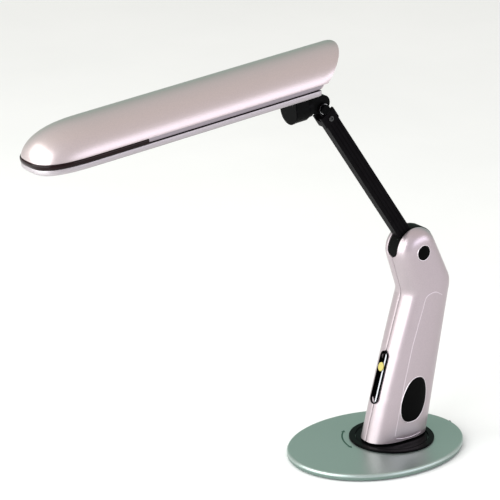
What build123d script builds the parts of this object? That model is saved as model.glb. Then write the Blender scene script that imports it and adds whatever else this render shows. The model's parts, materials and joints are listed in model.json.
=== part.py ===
from build123d import *
import math
import os

# Adjustable fluorescent desk lamp, in millimetres. The origin is where the swivel axis meets the
# desk. +Z is up, the lamp head points to -X and the lamp is symmetric about the plane Y = 0.

# Base
base_length = 220.0
base_width = 174.0
base_centre_x = -23.6
base_top = 9.0
base_wall = 2.0
mat_thickness = 1.5
bottom_thickness = 1.2
swivel_hole_r = 20.0

# Swivel
collar_r = 49.7
turntable_r = 42.0
spindle_r = 8.0
spindle_bore_r = 5.5
running_clearance = 0.05
stand_foot_z = 11.0

# Stand housing: the side outline is a straight-backed leg that bends back at the elbow
foot_front_x = -39.0
foot_back_x = 39.0
elbow_front = (9.9, 187.5)
elbow_back = (72.7, 196.7)
leg_front_mid = (-19.3, 88.0)
crown_centre = (22.0, 238.2)
crown_r = 26.8
foot_half_width = 24.5
crown_half_width = 23.5
crown_z = 265.0
housing_wall = 2.5
housing_corner_r = 15.0
cavity_top_z = 202.0

# Lower pivot
pivot_x = 23.3
pivot_z = 237.9
hub_r = 27.0
hub_half = 7.9
cheek_half = 8.7
slot_front_z = 231.0
slot_back_z = 250.0
pivot_bolt_r = 4.0
cap_r = 8.1

# Upper arm: measured along the arm from the lower pivot
tilt_x = -107.7
tilt_z = 426.3
bar_depth = 17.9
bar_half = 6.8
bar_drop = 0.73
bar_wall = 1.8
bar_start = 14.0
fork_half = 8.7
fork_depth = 20.2
fork_length = 9.0
fork_web = 1.0
ear_reach = 11.5
ear_start = 6.5
ear_r = 6.4
ear_half = 6.4
ear_gap_half = 4.4
tongue_half = 4.1
tilt_bolt_r = 2.5
fork_screw_reach = 14.5

# Head, in its own frame: s runs back from the nose tip, h is up from the parting plane
head_pitch = 5.26
head_half = 37.0
head_nose_length = 72.0
skirt_end = 347.0
skirt_height = 6.6
tray_depth = 6.8
shell_wall = 2.2
rear_slope = 0.878
rear_foot = 348.7
dome_end = 392.0
band_end = 124.0
roll_h = -28.0
anchor_s = 365.0
anchor_x = -112.0
anchor_z = 432.5
neck_s = 369.8
neck_h = -29.0
neck_r = 9.2
bracket_front = 326.0
bracket_back = 344.0
bracket_half = 14.0
roll_spindle_r = 5.0
window_start = 22.0
window_end = 282.0
window_half = 27.0
reflector_r = 28.0

# Dimmer slide on the front of the leg
slot_length = 64.0
slot_width = 13.0
knob_r = 5.3
knob_half = 4.4
knob_y = -0.7
stem_y = 1.4
knob_rest = 13.0

PITCH = math.radians(head_pitch)
HEAD_TIP = (anchor_x - anchor_s * math.cos(PITCH) + roll_h * math.sin(PITCH),
            anchor_z - anchor_s * math.sin(PITCH) - roll_h * math.cos(PITCH))
TILT_S = (tilt_x - HEAD_TIP[0]) * math.cos(PITCH) + (tilt_z - HEAD_TIP[1]) * math.sin(PITCH)
TILT_H = (tilt_z - HEAD_TIP[1]) * math.cos(PITCH) - (tilt_x - HEAD_TIP[0]) * math.sin(PITCH)
ARM_LENGTH = math.hypot(tilt_x - pivot_x, tilt_z - pivot_z)
ARM_ANGLE = math.degrees(math.atan2(tilt_z - pivot_z, tilt_x - pivot_x))
SIDE = Plane.XZ


def write(name, shape):
    export_step(shape, f"parts/{name}.step")


def disc(radius, low, high, x=0.0, y=0.0):
    return Pos(x, y, low) * Cylinder(radius, high - low, align=(Align.CENTER, Align.CENTER, Align.MIN))


def ring(outer, inner, low, high):
    return disc(outer, low, high) - disc(inner, low - 1, high + 1)


def block(x0, x1, y0, y1, z0, z1):
    return Pos((x0 + x1) / 2, (y0 + y1) / 2, (z0 + z1) / 2) * Box(x1 - x0, y1 - y0, z1 - z0)


def cross_pin(radius, y0, y1, x, z):
    """A cylinder parallel to Y."""
    return Pos(x, (y0 + y1) / 2, z) * Rot(90, 0, 0) * Cylinder(radius, y1 - y0)


def long_pin(radius, x0, x1, y, z):
    """A cylinder parallel to X."""
    return Pos((x0 + x1) / 2, y, z) * Rot(0, 90, 0) * Cylinder(radius, x1 - x0)


def through_y(face, half):
    """Extrude a face drawn on the side plane equally both ways."""
    return extrude(face, half, both=True)


# ---------------------------------------------------------------- base

def oval(inset, low, high):
    face = Ellipse(base_length / 2 - inset, base_width / 2 - inset)
    return Pos(base_centre_x, 0, low) * extrude(face, high - low)


def base_cover():
    body = oval(0, mat_thickness, base_top)
    body = fillet(body.edges().sort_by(Axis.Z)[-1], 2.6)
    body -= oval(base_wall, 0, base_top - base_wall)
    body -= disc(10.0, 0, 20)
    for x, y in base_screw_places():
        body += disc(4.0, mat_thickness + bottom_thickness, base_top - base_wall, x, y)
        body -= disc(1.5, 0, 7.4, x, y)
    return body - gland_body(0.0)


def base_screw_places():
    return [
        (base_centre_x + 84 * math.cos(a), 64 * math.sin(a))
        for a in (math.radians(k) for k in (35, 145, 215, 325))
    ]


def bottom_plate():
    top = mat_thickness + bottom_thickness
    plate = oval(base_wall + 0.3, mat_thickness, top) - disc(swivel_hole_r, 0, 9)
    for x, y in base_screw_places():
        plate -= disc(1.6, 0, 5, x, y)
    return plate - gland_body(0.1)


def base_weight():
    low = mat_thickness + bottom_thickness
    weight = oval(6.0, low, base_top - base_wall) - disc(swivel_hole_r, 0, 9)
    for x, y in base_screw_places():
        weight -= disc(4.4, 0, 9, x, y)
    return weight - block(54, 100, -5, 5, 0, 9)


def base_mat():
    mat = oval(7.0, 0, mat_thickness)
    for x, y in base_screw_places():
        mat -= disc(3.4, -1, 3, x, y)
    return mat


def base_screws():
    def screw(x, y):
        return disc(3.0, 0.4, mat_thickness, x, y) + disc(1.45, 0.4, 6.6, x, y)
    return Compound(children=[screw(x, y) for x, y in base_screw_places()])


def gland_body(clearance):
    back = base_centre_x + base_length / 2
    return long_pin(2.7 + clearance, back - 9, back + 1.5, 0, 5.0)


def cord_gland():
    back = base_centre_x + base_length / 2
    body = gland_body(-0.02) + long_pin(2.69, back - 1, back + 1.5, 0, 5.0)
    return body - long_pin(1.6, back - 12, back + 4, 0, 5.0)


def swivel_collar():
    body = ring(collar_r, turntable_r + 0.4, base_top, base_top + 2.2)
    return fillet(body.edges().group_by(Axis.Z)[-1], 0.9)


def swivel_bush():
    bore = spindle_r + running_clearance
    return ring(9.98, bore, base_top - base_wall, base_top + 0.3)


# ---------------------------------------------------------------- stand

def turntable():
    body = disc(turntable_r, base_top + 0.4, stand_foot_z)
    body = chamfer(body.edges().group_by(Axis.Z)[-1], 0.6)
    return body - disc(spindle_r + 0.02, 0, 20)


def swivel_spindle():
    tube = disc(spindle_r, 3.2, stand_foot_z) + disc(14.0, stand_foot_z, stand_foot_z + 1.8)
    return tube - disc(spindle_bore_r, 0, 30)


def swivel_washer():
    return ring(16.0, spindle_r + 0.02, 5.8, base_top - base_wall - 0.15)


def swivel_nut():
    nut = extrude(RegularPolygon(13.0, 6), 2.5)
    return Pos(0, 0, 3.25) * nut - disc(spindle_r + 0.02, 0, 20)


def leg_outline():
    """The side outline of the stand, as a face on the XZ plane."""
    tx, tz = crown_centre
    leg = SIDE * make_face(
        ThreePointArc((foot_front_x, stand_foot_z), leg_front_mid, elbow_front)
        + Polyline(elbow_front, (tx - crown_r, tz), (tx + crown_r - 2, tz + 8), elbow_back,
                   (foot_back_x, stand_foot_z), (foot_front_x, stand_foot_z))
    )
    crown = SIDE * Pos(tx, tz) * Circle(crown_r)
    outline = leg + crown
    back_corner = outline.vertices().sort_by_distance(Vector(elbow_back[0], 0, elbow_back[1]))[0]
    return fillet(back_corner, 24.0)


def taper(outset, low=stand_foot_z - 1, high=crown_z + 6):
    """The wedge between the two side planes, which lean in towards the top."""
    def half(z):
        share = (z - stand_foot_z) / (crown_z - stand_foot_z)
        return foot_half_width + share * (crown_half_width - foot_half_width) + outset
    face = make_face(Polyline((-half(low), low), (half(low), low), (half(high), high),
                              (-half(high), high), (-half(low), low)))
    return extrude(Plane.YZ * face, 150, both=True)


def leg_solid():
    return through_y(leg_outline(), 30) & taper(0)


def leg_cavity():
    inside = through_y(offset(leg_outline(), -housing_wall), 30) & taper(-housing_wall)
    inside = round_corners(inside, housing_corner_r - housing_wall)
    return inside & block(-60, 90, -30, 30, stand_foot_z - 2, cavity_top_z)


def round_corners(body, radius):
    """Round the long corners between the side planes and the front, top and back."""
    def is_long_corner(edge):
        return abs((edge @ 0.5).Y) > 10 and (edge @ 0.5).Z > body.bounding_box().min.Z + 1
    return fillet(body.edges().filter_by(is_long_corner), radius)


def side_slab(face, inner, outer):
    """A slab under both side planes of the leg, from `inner` to `outer` beyond them."""
    return through_y(face, 40) & (taper(outer) - taper(inner))


def one_side(body, left):
    half = block(-200, 200, -60, 0, -50, 400) if left else block(-200, 200, 0, 60, -50, 400)
    return body & half


def pad_outline(grow):
    lower = Pos(12.0, 51.5) * Circle(17.5 + grow)
    upper = Pos(18.0, 76.0) * Circle(11.3 + grow)
    return SIDE * make_hull(lower.edges() + upper.edges())


def dimmer_frame():
    """A frame on the leg's front face: X up the slot, Z out of the face."""
    up = Vector(elbow_front[0] - foot_front_x, 0, elbow_front[1] - stand_foot_z).normalized()
    out = Vector(-up.Z, 0, up.X)
    centre = Vector(leg_front_mid[0], 0, leg_front_mid[1])
    return Plane(origin=centre, x_dir=up, z_dir=out)


def dimmer_slab(length, width, low, high, y=0.0):
    face = Pos(0, y) * SlotOverall(length, width)
    solid = Pos(0, 0, low) * extrude(face, high - low)
    return dimmer_frame().location * solid


def housing_screw_places():
    return [(-12, 34), (28, 100), (12, 142), (42, 178)]


def leg_shells():
    """Both shells in one: the leg with its cavity, hub slot and every recess cut."""
    body = round_corners(leg_solid(), housing_corner_r) - leg_cavity()
    for x, z in housing_screw_places():
        body += cross_pin(4.0, -24, 24, x, z) & leg_cavity()
        body -= cross_pin(1.5, -17, 30, x, z)
        body -= cross_pin(3.0, 14, 30, x, z)
    body -= disc(14.05, 0, stand_foot_z + 1.85) + disc(spindle_bore_r, 0, 30)
    body -= cross_pin(hub_r + 0.4, -cheek_half, cheek_half, pivot_x, pivot_z)
    body -= block(-20, pivot_x, -cheek_half, cheek_half, slot_front_z, 280)
    body -= block(pivot_x - 1, 60, -cheek_half, cheek_half, slot_back_z, 280)
    body -= cross_pin(pivot_bolt_r + 0.02, -30, 30, pivot_x, pivot_z)
    body -= cross_pin(7.2, -30, -13, pivot_x, pivot_z) + cross_pin(7.2, 13, 30, pivot_x, pivot_z)
    cap = SIDE * Pos(pivot_x, pivot_z) * Circle(cap_r + 0.05)
    body -= side_slab(cap, -2.0, 5)
    body -= side_slab(pad_outline(0.1), -1.2, 5)
    return body - dimmer_slab(slot_length - 2, slot_width - 2, -6, 4)


def housing_half(shells, left):
    seam = 0.05
    half = block(-200, 200, -60, -seam, -50, 400) if left else block(-200, 200, seam, 60, -50, 400)
    return shells & half


def housing_screws():
    def screw(x, z):
        return cross_pin(1.45, -15, 16, x, z) + cross_pin(2.8, 14.1, 16.5, x, z)
    return Compound(children=[screw(x, z) for x, z in housing_screw_places()])


def side_pad(left):
    return one_side(side_slab(pad_outline(0), -1.15, 0.5), left)


def pivot_cap(left):
    face = SIDE * Pos(pivot_x, pivot_z) * Circle(cap_r)
    return one_side(side_slab(face, -1.95, 0.5), left)


def pivot_bolt():
    head = cross_pin(6.5, -15.0, -13.0, pivot_x, pivot_z)
    return head + cross_pin(pivot_bolt_r, -13.5, 15.0, pivot_x, pivot_z)


def pivot_nut():
    nut = SIDE * Pos(pivot_x, pivot_z) * RegularPolygon(7.0, 6)
    return Pos(0, 15.0, 0) * extrude(nut, 2.0) - cross_pin(pivot_bolt_r + 0.01, 0, 30, pivot_x, pivot_z)


def arm_washers():
    def washer(y0, y1):
        return cross_pin(14.0, y0, y1, pivot_x, pivot_z) - cross_pin(pivot_bolt_r + 0.03, -20, 20,
                                                                    pivot_x, pivot_z)
    gap = running_clearance
    return Compound(children=[washer(hub_half + gap, cheek_half), washer(-cheek_half, -hub_half - gap)])


def dimmer_bezel():
    body = dimmer_slab(slot_length, slot_width, 0.3, 1.2)
    body += dimmer_slab(slot_length - 2.2, slot_width - 2.2, -4.0, 1.2)
    body -= dimmer_slab(slot_length - 3, slot_width - 3, -2.6, 3)
    return body - dimmer_slab(slot_length - 12, 3.0, -6, 3, y=stem_y)


def dimmer_strip():
    return dimmer_slab(slot_length - 9, 2.8, -2.6, 0.9, y=-3.5)


def dimmer_track():
    body = Pos(0, stem_y, -9.0) * Box(slot_length - 2, 8.0, 8.0)
    body = dimmer_frame().location * body
    return body - dimmer_slab(slot_length - 10, 3.2, -9, 0, y=stem_y)


def dimmer_knob():
    place = dimmer_frame().location * Pos(knob_rest, 0, 0)
    button = Pos(0, knob_y, 1.5) * extrude(Ellipse(knob_r, knob_half), 1.6)
    button = fillet(button.edges().group_by(Axis.Z)[-1], 0.7)
    stem = Pos(0, stem_y, -2.8) * Box(4.0, 2.4, 10.0)
    return place * (button + stem)


def ballast_place():
    lean = math.degrees(math.atan2(elbow_front[0] - foot_front_x, elbow_front[1] - stand_foot_z))
    return Pos(16.0, 8.0, 88.0) * Rot(0, lean, 0)


def ballast_board():
    board = ballast_place() * Box(36, 1.6, 112)
    for x, z in housing_screw_places():
        board -= cross_pin(4.4, -30, 30, x, z)
    return board


def ballast_transformer():
    core = Pos(1, -8.0, -14) * Box(22, 14.2, 20)
    bobbin = Pos(1, -8.0, -14) * Box(15, 12, 25)
    return ballast_place() * (core + bobbin)


def ballast_capacitors():
    def can(z, radius, height):
        return ballast_place() * Pos(3, -0.9 - height / 2, z) * Rot(90, 0, 0) * Cylinder(radius, height)
    return Compound(children=[can(-38, 7.0, 16), can(28, 5.0, 12), can(42, 4.0, 10)])


def heat_sink():
    base = Pos(-10.5, -6.9, 14) * Box(2.0, 12.0, 26)
    fins = [Pos(-7.5, -6.9, z) * Box(6.0, 12.0, 1.2) for z in range(4, 28, 4)]
    return ballast_place() * (base + fins)


# ---------------------------------------------------------------- upper arm

def arm_place():
    """X runs along the arm from the lower pivot, Y across it and Z to its upper side."""
    return Pos(pivot_x, 0, pivot_z) * Rot(0, -ARM_ANGLE, 0)


def bar_section(grow=0.0):
    section = Pos(0, -bar_drop) * Rectangle(2 * (bar_half + grow), bar_depth + 2 * grow)
    return fillet(section.vertices(), 1.6 + grow)


def along_arm(face, start, end):
    return arm_place() * Pos(start, 0, 0) * extrude(Plane.YZ * face, end - start)


def arm_hub():
    hub = cross_pin(hub_r, -hub_half, hub_half, pivot_x, pivot_z)
    hub = chamfer(hub.edges().filter_by(GeomType.CIRCLE), 0.6)
    hub -= cross_pin(pivot_bolt_r + running_clearance, -30, 30, pivot_x, pivot_z)
    return hub - along_arm(bar_section(0.02), bar_start, 60)


def arm_bar():
    end = ARM_LENGTH - ear_reach - fork_web
    section = bar_section() - offset(bar_section(), -bar_wall)
    for side in (-1, 1):
        for row in (-4.4, 0.0, 4.4):
            section -= Pos(side * bar_half, row - bar_drop) * Rectangle(0.9, 1.4)
    return along_arm(section, bar_start, end)


def arm_fork():
    end = ARM_LENGTH - ear_reach
    body = Rectangle(2 * fork_half, fork_depth)
    body = fillet(body.vertices(), 2.0)
    fork = along_arm(body, end - fork_length, ARM_LENGTH - ear_start)
    ears = cross_pin(ear_r, -ear_half, ear_half, tilt_x, tilt_z)
    ears += along_arm(Rectangle(2 * ear_half, 2 * ear_r), ARM_LENGTH - ear_start - 1, ARM_LENGTH)
    fork += ears
    fork -= along_arm(bar_section(0.02), end - fork_length - 1, end - fork_web)
    fork -= along_arm(Rectangle(2 * ear_gap_half, 40), end, ARM_LENGTH + 30)
    fork -= cross_pin(tilt_bolt_r + 0.02, -30, 30, tilt_x, tilt_z)
    return fork - fork_screw_body(0.03)


def fork_screw_place():
    return arm_place() * Pos(ARM_LENGTH - fork_screw_reach, 0, 0) * Rot(90, 0, 0)


def fork_screw_body(clearance):
    shank = Cylinder(1.5 + clearance, 9.0, align=(Align.CENTER, Align.CENTER, Align.MIN))
    return fork_screw_place() * (Pos(0, 0, 2.0) * shank)


def fork_screw():
    head = Pos(0, 0, fork_half) * Cylinder(3.2, 1.4, align=(Align.CENTER, Align.CENTER, Align.MIN))
    head = fillet(head.edges().group_by(Axis.Z)[-1], 0.7)
    head -= Pos(0, 0, fork_half + 1.4) * (Box(3.6, 0.9, 1.4) + Box(0.9, 3.6, 1.4))
    shank = Pos(0, 0, bar_half) * Cylinder(1.5, 2.2, align=(Align.CENTER, Align.CENTER, Align.MIN))
    return fork_screw_place() * (head + shank)


def tilt_bolt():
    shank = cross_pin(tilt_bolt_r, -9.6, ear_half + 2.6, tilt_x, tilt_z)
    return shank + cross_pin(4.6, ear_half, ear_half + 2.6, tilt_x, tilt_z)


def tilt_washer():
    return cross_pin(5.9, -ear_half - 0.8, -ear_half, tilt_x, tilt_z) - cross_pin(
        tilt_bolt_r + 0.02, -30, 0, tilt_x, tilt_z)


def tilt_knob():
    knob = cross_pin(5.5, -11.2, -ear_half - 0.8, tilt_x, tilt_z)
    knob = fillet(knob.edges().group_by(Axis.Y)[0], 1.4)
    return knob - cross_pin(tilt_bolt_r + 0.02, -9.7, 0, tilt_x, tilt_z)


# ---------------------------------------------------------------- head

def head_place():
    return Pos(HEAD_TIP[0], 0, HEAD_TIP[1]) * Rot(0, -head_pitch, 0)


def in_head(shape):
    return head_place() * shape


def nose_curve(inset, power):
    """From the nose tip to where the nose meets the straight side, with half-width for Y."""
    length, half = head_nose_length - inset, head_half - inset
    def point(k):
        a = math.radians(90 * k)
        return (head_nose_length - length * math.cos(a) ** (2 / power),
                half * math.sin(a) ** (2 / power))
    return Spline([point(k) for k in (0, 0.12, 0.25, 0.4, 0.6, 0.8, 1)], tangents=((0, 1), (1, 0)))


def plan(inset, end, power=3.2):
    """The head seen from above, flat across the back."""
    curve = nose_curve(inset, power)
    half = head_half - inset
    side = Polyline((head_nose_length, half), (end, half), (end, 0), (inset, 0))
    upper = make_face(curve + side)
    return upper + mirror(upper, Plane.XZ)


def dome_solid(inset, end):
    curve = nose_curve(inset, 2.6)
    side = Polyline((head_nose_length, head_half - inset), (end, head_half - inset), (end, 0), (inset, 0))
    return revolve(make_face(curve + side), Axis.X, 180)


def behind(shift):
    """Everything behind the slanted back of the dome."""
    reach = 60.0
    face = make_face(Polyline((rear_foot - shift, 0), (rear_foot - shift + reach / rear_slope, reach),
                              (rear_foot + 200, reach), (rear_foot + 200, -30),
                              (rear_foot - shift, -30), (rear_foot - shift, 0)))
    return through_y(SIDE * face, 60)


def level(low, high):
    return block(-20, 450, -60, 60, low, high)


def upper_shell():
    dome = (dome_solid(0, dome_end) - behind(0)) & level(skirt_height, 60)
    skirt = extrude(plan(1.0, skirt_end), skirt_height + 0.6) & level(0.1, 60)
    inside = (dome_solid(shell_wall, dome_end) - behind(3.6)) & level(-1, 60)
    inside -= block(skirt_end - 2.2, 450, -60, 60, -5, skirt_height + 0.6)
    shell = dome + skirt - inside
    shell -= block(-10, band_end, -60, 60, -1, skirt_height)
    for s, y, top in head_screw_places():
        shell += disc(3.6, skirt_height, top, s, y) & dome_solid(0.6, dome_end)
        shell -= disc(1.5, -1, 12, s, y)
    return in_head(shell)


def head_screw_places():
    """Place along the head, place across it and the boss's height."""
    return [(14.0, 0.0, 27.0), (318.0, 25.0, 25.0), (318.0, -25.0, 25.0)]


def nose_band():
    band = extrude(plan(0.4, 200), skirt_height - 0.2) - extrude(plan(3.0, 220), 20)
    band &= block(-10, band_end - 0.1, -60, 60, 0.15, skirt_height - 0.1)
    return in_head(band)


def lower_tray():
    tray = Pos(0, 0, -tray_depth) * extrude(plan(0, skirt_end), tray_depth)
    tray = fillet(tray.edges().group_by(Axis.Z)[0], 2.4)
    tray -= Pos(0, 0, -tray_depth + 2) * extrude(plan(shell_wall, skirt_end - shell_wall), 20)
    tray -= block(window_start, window_end, -window_half, window_half, -10, 2)
    for s, y, top in head_screw_places():
        tray += disc(3.6, -tray_depth + 1, 0, s, y)
        tray -= disc(1.6, -10, 2, s, y) + disc(3.1, -10, -tray_depth + 1.6, s, y)
    for s, y in bracket_screw_places():
        tray -= disc(1.6, -10, 2, s, y)
    return in_head(tray)


def head_screws():
    def screw(s, y):
        return disc(1.45, -tray_depth + 0.2, 9, s, y) + disc(2.9, -tray_depth + 0.1, -tray_depth + 1.6, s, y)
    return in_head(Compound(children=[screw(s, y) for s, y, top in head_screw_places()]))


def light_cover():
    low = -tray_depth + 2
    edge = 1.5
    sheet = block(window_start - edge, window_end + edge, -window_half - edge, window_half + edge,
                  low, low + 1.6)
    rib = through_y(SIDE * Pos(0, low) * Rot(0, 0, 45) * Rectangle(1.6, 1.6), window_half - 2)
    step = 6.0
    count = int((window_end - window_start - 12) / step)
    ribs = [Pos(window_start + 6 + step * k, 0, 0) * rib for k in range(count + 1)]
    return in_head(sheet + ribs)


def reflector():
    outer = Circle(reflector_r + 0.6) - Circle(reflector_r)
    arch = outer & Pos(0, 25) * Rectangle(80, 50)
    start = window_start + 8
    return in_head(Pos(start, 0, 0) * extrude(Plane.YZ * arch, window_end - start))


def lamp_tubes():
    def tube(y):
        body = long_pin(8.2, 46, 262, y, 8)
        return body + Pos(46, y, 8) * Sphere(8.2)
    bridge = Pos(56, 0, 8) * Rot(90, 0, 0) * Cylinder(4.0, 20)
    return in_head(tube(11) + tube(-11) + bridge)


def lamp_base():
    body = block(262, 283, -20.5, 20.5, -1, 17)
    return in_head(fillet(body.edges().filter_by(Axis.X), 4.0))


def lamp_holder():
    return in_head(block(286, 306, -21, 21, -tray_depth + 2, 19) + block(283, 286, -12, 12, 2, 14))


def lamp_clip():
    plate = block(74, 75.5, -21.5, 21.5, -2, 13)
    return in_head(plate - long_pin(8.25, 60, 90, 11, 8) - long_pin(8.25, 60, 90, -11, 8))


def bracket_screw_places():
    return [(337.0, 10.0), (337.0, -10.0)]


def bracket_section(grow=0.0):
    lower = Pos(0, roll_h) * Circle(bracket_half + 0.5 + grow)
    upper = Pos(0, (roll_h - tray_depth) / 2) * Rectangle(2 * (bracket_half + grow), -tray_depth - roll_h)
    return (lower + upper) & Pos(0, -tray_depth - 25) * Rectangle(60, 50)


def head_bracket():
    body = Pos(bracket_front + 2, 0, 0) * extrude(Plane.YZ * bracket_section(), bracket_back - bracket_front - 2)
    body -= long_pin(roll_spindle_r + running_clearance, 320, 350, 0, roll_h)
    body -= long_pin(8.2, 320, bracket_front + 6, 0, roll_h)
    for s, y in bracket_screw_places():
        body -= disc(1.5, -18, 0, s, y)
    return in_head(body)


def bracket_cap():
    face = Plane.YZ * bracket_section(0.4)
    return in_head(Pos(bracket_front, 0, 0) * extrude(face, 1.95))


def bracket_screws():
    def screw(s, y):
        return disc(1.45, -16, -tray_depth + 2, s, y) + disc(2.8, -tray_depth + 2, -tray_depth + 3.6, s, y)
    return in_head(Compound(children=[screw(s, y) for s, y in bracket_screw_places()]))


# ---------------------------------------------------------------- roll and tilt knuckle

def tilt_knuckle():
    collar = long_pin(12.4, 347.0, 351.5, 0, roll_h)
    spindle = long_pin(roll_spindle_r, bracket_front + 6.2, 348, 0, roll_h)
    root = Pos(351.0, roll_h) * Rectangle(1.0, 17.0)
    neck = Pos(neck_s, neck_h) * Circle(neck_r)
    eye = Pos(TILT_S, TILT_H) * Circle(ear_r - 0.2)
    tongue = through_y(SIDE * make_hull(root.edges() + neck.edges() + eye.edges()), tongue_half)
    tongue -= cross_pin(tilt_bolt_r + running_clearance, -30, 30, TILT_S, TILT_H)
    tap = long_pin(2.0, 320, 344, 0, roll_h)
    return in_head(collar + spindle + tongue - tap)


def roll_ring():
    return in_head(long_pin(13.2, 344.15, 347.0, 0, roll_h) - long_pin(roll_spindle_r + 0.02, 320, 360, 0, roll_h))


def roll_screw():
    head = long_pin(7.8, bracket_front + 3.6, bracket_front + 5.8, 0, roll_h)
    return in_head(head + long_pin(1.95, bracket_front + 5, 343, 0, roll_h))


def make_base():
    write("base_cover", base_cover())
    write("bottom_plate", bottom_plate())
    write("base_weight", base_weight())
    write("base_mat", base_mat())
    write("base_screws", base_screws())
    write("cord_gland", cord_gland())
    write("swivel_collar", swivel_collar())
    write("swivel_bush", swivel_bush())


def make_stand():
    shells = leg_shells()
    write("housing_left", housing_half(shells, True))
    write("housing_right", housing_half(shells, False))
    write("housing_screws", housing_screws())
    write("turntable", turntable())
    write("swivel_spindle", swivel_spindle())
    write("swivel_washer", swivel_washer())
    write("swivel_nut", swivel_nut())
    write("side_pad_left", side_pad(True))
    write("side_pad_right", side_pad(False))
    write("pivot_cap_left", pivot_cap(True))
    write("pivot_cap_right", pivot_cap(False))
    write("pivot_bolt", pivot_bolt())
    write("pivot_nut", pivot_nut())
    write("arm_washers", arm_washers())
    write("dimmer_bezel", dimmer_bezel())
    write("dimmer_strip", dimmer_strip())
    write("dimmer_track", dimmer_track())
    write("dimmer_knob", dimmer_knob())
    write("ballast_board", ballast_board())
    write("ballast_transformer", ballast_transformer())
    write("ballast_capacitors", ballast_capacitors())
    write("heat_sink", heat_sink())


def make_arm():
    write("arm_hub", arm_hub())
    write("arm_bar", arm_bar())
    write("arm_fork", arm_fork())
    write("fork_screw", fork_screw())
    write("tilt_bolt", tilt_bolt())
    write("tilt_washer", tilt_washer())
    write("tilt_knob", tilt_knob())


def make_head():
    write("tilt_knuckle", tilt_knuckle())
    write("roll_ring", roll_ring())
    write("roll_screw", roll_screw())
    write("head_bracket", head_bracket())
    write("bracket_cap", bracket_cap())
    write("bracket_screws", bracket_screws())
    write("upper_shell", upper_shell())
    write("nose_band", nose_band())
    write("lower_tray", lower_tray())
    write("head_screws", head_screws())
    write("light_cover", light_cover())
    write("reflector", reflector())
    write("lamp_tubes", lamp_tubes())
    write("lamp_base", lamp_base())
    write("lamp_holder", lamp_holder())
    write("lamp_clip", lamp_clip())


def main():
    os.makedirs("parts", exist_ok=True)
    make_base()
    make_stand()
    make_arm()
    make_head()


main()
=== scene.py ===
import json
import math

import bmesh
import bpy
from mathutils import Matrix, Vector
from mathutils.bvhtree import BVHTree


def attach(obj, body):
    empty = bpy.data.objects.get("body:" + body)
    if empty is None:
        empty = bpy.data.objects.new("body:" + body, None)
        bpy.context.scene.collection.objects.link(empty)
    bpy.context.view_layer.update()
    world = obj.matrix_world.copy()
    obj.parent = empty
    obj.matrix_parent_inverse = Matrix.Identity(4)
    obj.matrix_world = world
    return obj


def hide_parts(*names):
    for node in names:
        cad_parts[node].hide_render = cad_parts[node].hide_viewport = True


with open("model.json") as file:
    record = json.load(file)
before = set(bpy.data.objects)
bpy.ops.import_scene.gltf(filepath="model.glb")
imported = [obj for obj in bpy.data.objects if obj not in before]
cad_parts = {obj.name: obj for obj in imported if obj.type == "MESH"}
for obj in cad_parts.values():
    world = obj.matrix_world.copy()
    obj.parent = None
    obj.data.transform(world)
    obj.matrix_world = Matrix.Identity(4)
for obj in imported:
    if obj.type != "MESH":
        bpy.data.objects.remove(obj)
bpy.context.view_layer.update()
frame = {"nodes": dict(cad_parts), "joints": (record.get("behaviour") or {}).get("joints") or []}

MM = 0.001
JOINTS = {joint["name"]: joint for joint in frame["joints"]}
PIVOT = Vector(JOINTS["arm_pivot"]["pos_m"]) / MM
ROLL_POINT = Vector(JOINTS["head_roll"]["pos_m"]) / MM
HEAD_AXIS = Vector(JOINTS["head_roll"]["axis"]).normalized()
SLIDE_AXIS = Vector(JOINTS["dimmer_slide"]["axis"]).normalized()

# The head, in its own frame: s runs back from the nose tip and h is up from the parting plane
HEAD_HALF = 37.0
HEAD_HEIGHT = 37.0
NOSE_LENGTH = 72.0
NOSE_PLAN_POWER = 3.2
NOSE_SIDE_POWER = 2.5
SKIRT_END = 347.0
SKIRT_HEIGHT = 5.7
REAR_FOOT = 348.7
REAR_SLOPE = 0.878
TRAY_DEPTH = 6.8
BAND_END = 124.0
SHELL_WALL = 2.2
ROLL_S = 365.0
ROLL_H = -28.0
WINDOW_START = 22.0
WINDOW_END = 282.0
WINDOW_HALF = 27.0
WINDOW_CORNER = 6.0

# The stand's side outline, in the XZ plane
FOOT_Z = 13.0
FOOT_FRONT = (-38.45, 13.0)
FRONT_MID = (-19.3, 88.0)
ELBOW_FRONT = (9.9, 187.5)
CROWN = (22.0, 238.2)
CROWN_R = 27.3
ELBOW_BACK = (73.0, 196.8)
ELBOW_FRONT_R = 16.0
ELBOW_BACK_R = 26.0
FOOT_BACK = (43.8, 13.0)
FOOT_HALF = 24.5
CROWN_HALF = 23.5
CROWN_Z = 265.0
FOOT_POWER = 2.5
CROWN_POWER = 2.85
CHEEK_HALF = 8.7
HUB_SLOT_FRONT_Z = 232.0
HUB_SLOT_BACK_Z = 250.0
HUB_SLOT_CORNER = 8.0
SEAM = 0.34
SEAM_LIP = 0.45
SLOT_LIP = 0.8
SLOT_LENGTH = 64.0
SLOT_WIDTH = 13.0
BEZEL_LAP = 1.5
PLINTH_X = 2.6
PLINTH_HALF_LENGTH = 41.2

# The stand's points: up to the elbow, from there to the crown, and round the crown
LEG_STEPS = 30
TOP_STEPS = 12
CROWN_STEPS = 48

# The egg-shaped side pads, in the XZ plane
PAD_CENTRE = (13.3, 61.0)
PAD_HALF_HEIGHT = 26.3
PAD_HALF_WIDTH = 17.1
PAD_LEAN = 0.165
PAD_TAPER = 0.13
PAD_POWER = 0.8

# The base
BASE_LENGTH = 220.0
BASE_WIDTH = 174.0
BASE_X = -23.6
BASE_TOP = 9.0
COLLAR_R = 49.7


# ---------------------------------------------------------------- small tools

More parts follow.
